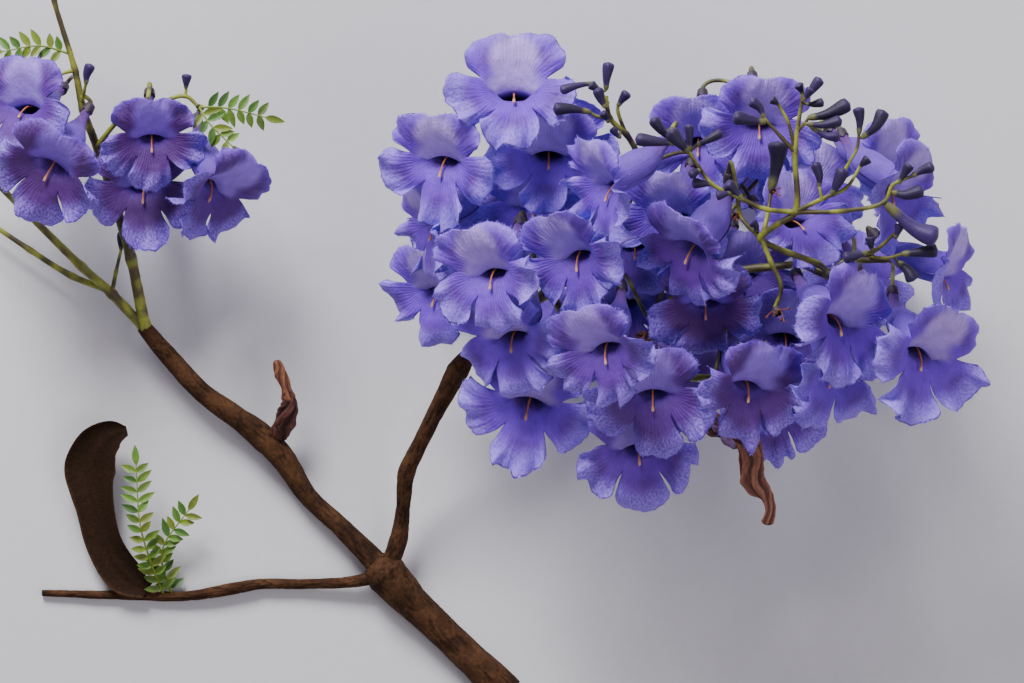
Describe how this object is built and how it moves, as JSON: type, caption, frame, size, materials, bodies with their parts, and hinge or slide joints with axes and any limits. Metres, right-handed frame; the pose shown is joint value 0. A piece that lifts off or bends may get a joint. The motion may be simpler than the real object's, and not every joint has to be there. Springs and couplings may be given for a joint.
{
  "type": "cut jacaranda tree branch in flower",
  "caption": "Cut woody branch lying flat, with a side arm, a dry seed pod, green stalks with buds, and a dense head of lilac trumpet flowers.",
  "frame": {"origin": "middle of the bounding box in X and Y, on the ground the branch lies on", "axes": "X to the right and Y up as the branch is seen from above, Z up from the ground; the branch lies down, its cut end points to -Y and +X"},
  "size_m": [0.3378, 0.2486, 0.1287],
  "materials": {
    "bark": "rough",
    "stalk": "satin",
    "petal": "soft matte",
    "pod": "rough",
    "dried": "matte"
  },
  "bodies": {
    "root": {"bloom_base_hanging": "petal", "bloom_base_left": "petal", "bloom_base_right": "petal", "bloom_centre_back": "petal", "bloom_centre_low": "petal", "bloom_far_left_edge": "petal", "bloom_far_left_hanging": "petal", "bloom_far_left_low": "petal", "bloom_far_left_middle": "petal", "bloom_far_left_top": "petal", "bloom_front_arched": "petal", "bloom_front_base": "petal", "bloom_front_inner": "petal", "bloom_front_low": "petal", "bloom_front_middle": "petal", "bloom_front_right": "petal", "bloom_front_side_tube": "petal", "bloom_inner_cup": "petal", "bloom_inner_dark": "petal", "bloom_inner_left": "petal", "bloom_left_edge": "petal", "bloom_left_edge_low": "petal", "bloom_left_low": "petal", "bloom_left_middle": "petal", "bloom_left_upper": "petal", "bloom_low_middle": "petal", "bloom_middle_back": "petal", "bloom_middle_left": "petal", "bloom_right_back": "petal", "bloom_right_edge": "petal", "bloom_right_hanging": "petal", "bloom_right_inner": "petal", "bloom_right_low": "petal", "bloom_right_upper": "petal", "bloom_top": "petal", "bloom_top_second": "petal", "bloom_under_base": "petal", "bloom_under_edge": "petal", "bloom_under_left": "petal", "bloom_under_low": "petal", "bloom_under_top": "petal", "bloom_under_upper": "petal", "bloom_upper_left": "petal", "bloom_upper_right": "petal", "bud_stem_left": "stalk", "bud_stem_right": "stalk", "dried_flower": "dried", "dried_stub": "dried", "flower_shoot": "bark", "flower_stem": "stalk", "left_arm": "bark", "left_flower_stalk": "stalk", "left_side_stalk": "stalk", "left_stem": "stalk", "low_twig": "bark", "lower_stem": "stalk", "main_branch": "bark", "right_stem": "stalk", "seed_pod": "pod", "upper_stem": "stalk"}
  },
  "joints": []
}
